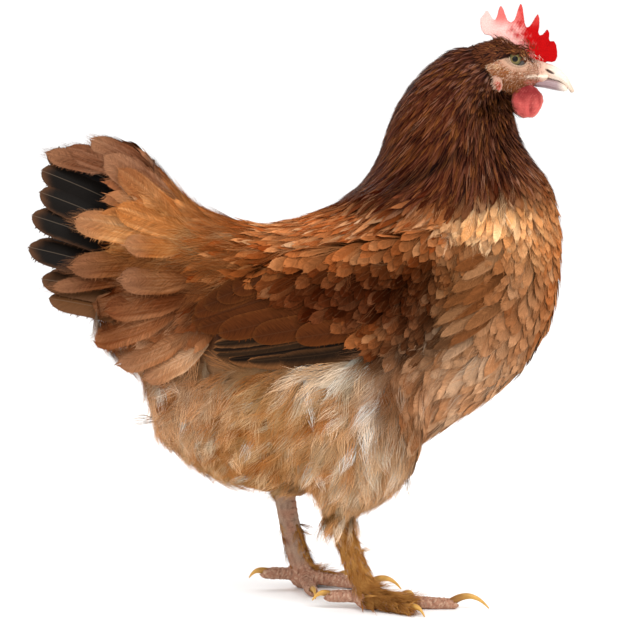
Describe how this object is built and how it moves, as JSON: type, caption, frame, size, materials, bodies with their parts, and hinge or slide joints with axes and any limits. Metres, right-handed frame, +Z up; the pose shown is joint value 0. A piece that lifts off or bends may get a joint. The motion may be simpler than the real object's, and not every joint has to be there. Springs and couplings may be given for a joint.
{
  "type": "still model of a hen",
  "caption": "Life-size still model of a standing brown laying hen with comb, wattles, folded wings and a raised fanned tail, resting on its two feet.",
  "frame": {"origin": "on the floor, under the middle of the bounding box", "axes": "+X is the way the hen faces, +Y is its left side, +Z is up; the feet stand on z = 0"},
  "size_m": [0.3887, 0.1666, 0.4291],
  "materials": {
    "body_feathers": "contour feathers of rufous and tan vanes, matt with a soft sheen",
    "hackle_feathers": "narrow pointed neck feathers, dark chestnut with pale shafts, silky",
    "wing_feathers": "coverts and folded quills, chestnut brown with dark primaries",
    "tail_feathers": "stiff quills, black with brown edges, under brown coverts",
    "fluff_feathers": "loose downy fluff, buff to cream, matt",
    "face_skin": "bare pinkish skin with fine wrinkles and bristles",
    "comb_skin": "thin fleshy comb, scarlet, finely pimpled, paler behind",
    "wattle_skin": "soft fleshy lobes, rosy red, finely pimpled",
    "leg_skin": "horny scales, pinkish grey, satin",
    "bill_horn": "smooth pale horn",
    "claw_horn": "smooth yellow horn",
    "eye_iris": "wet eye with an olive amber iris and a dark pupil"
  },
  "bodies": {
    "root": {"bill_lower": "bill_horn", "bill_upper": "bill_horn", "claw_left_1": "claw_horn", "claw_left_2": "claw_horn", "claw_left_3": "claw_horn", "claw_left_4": "claw_horn", "claw_right_1": "claw_horn", "claw_right_2": "claw_horn", "claw_right_3": "claw_horn", "claw_right_4": "claw_horn", "comb": "comb_skin", "earlobe_left": "wattle_skin", "earlobe_right": "wattle_skin", "eye_left": "eye_iris", "eye_right": "eye_iris", "foot_left": "leg_skin", "foot_right": "leg_skin", "head": "face_skin", "neck": "hackle_feathers", "shank_left": "leg_skin", "shank_right": "leg_skin", "tail": "tail_feathers", "thigh_left": "fluff_feathers", "thigh_right": "fluff_feathers", "trunk": "body_feathers", "wattle_left": "wattle_skin", "wattle_right": "wattle_skin", "wing_left": "wing_feathers", "wing_right": "wing_feathers"}
  },
  "joints": []
}
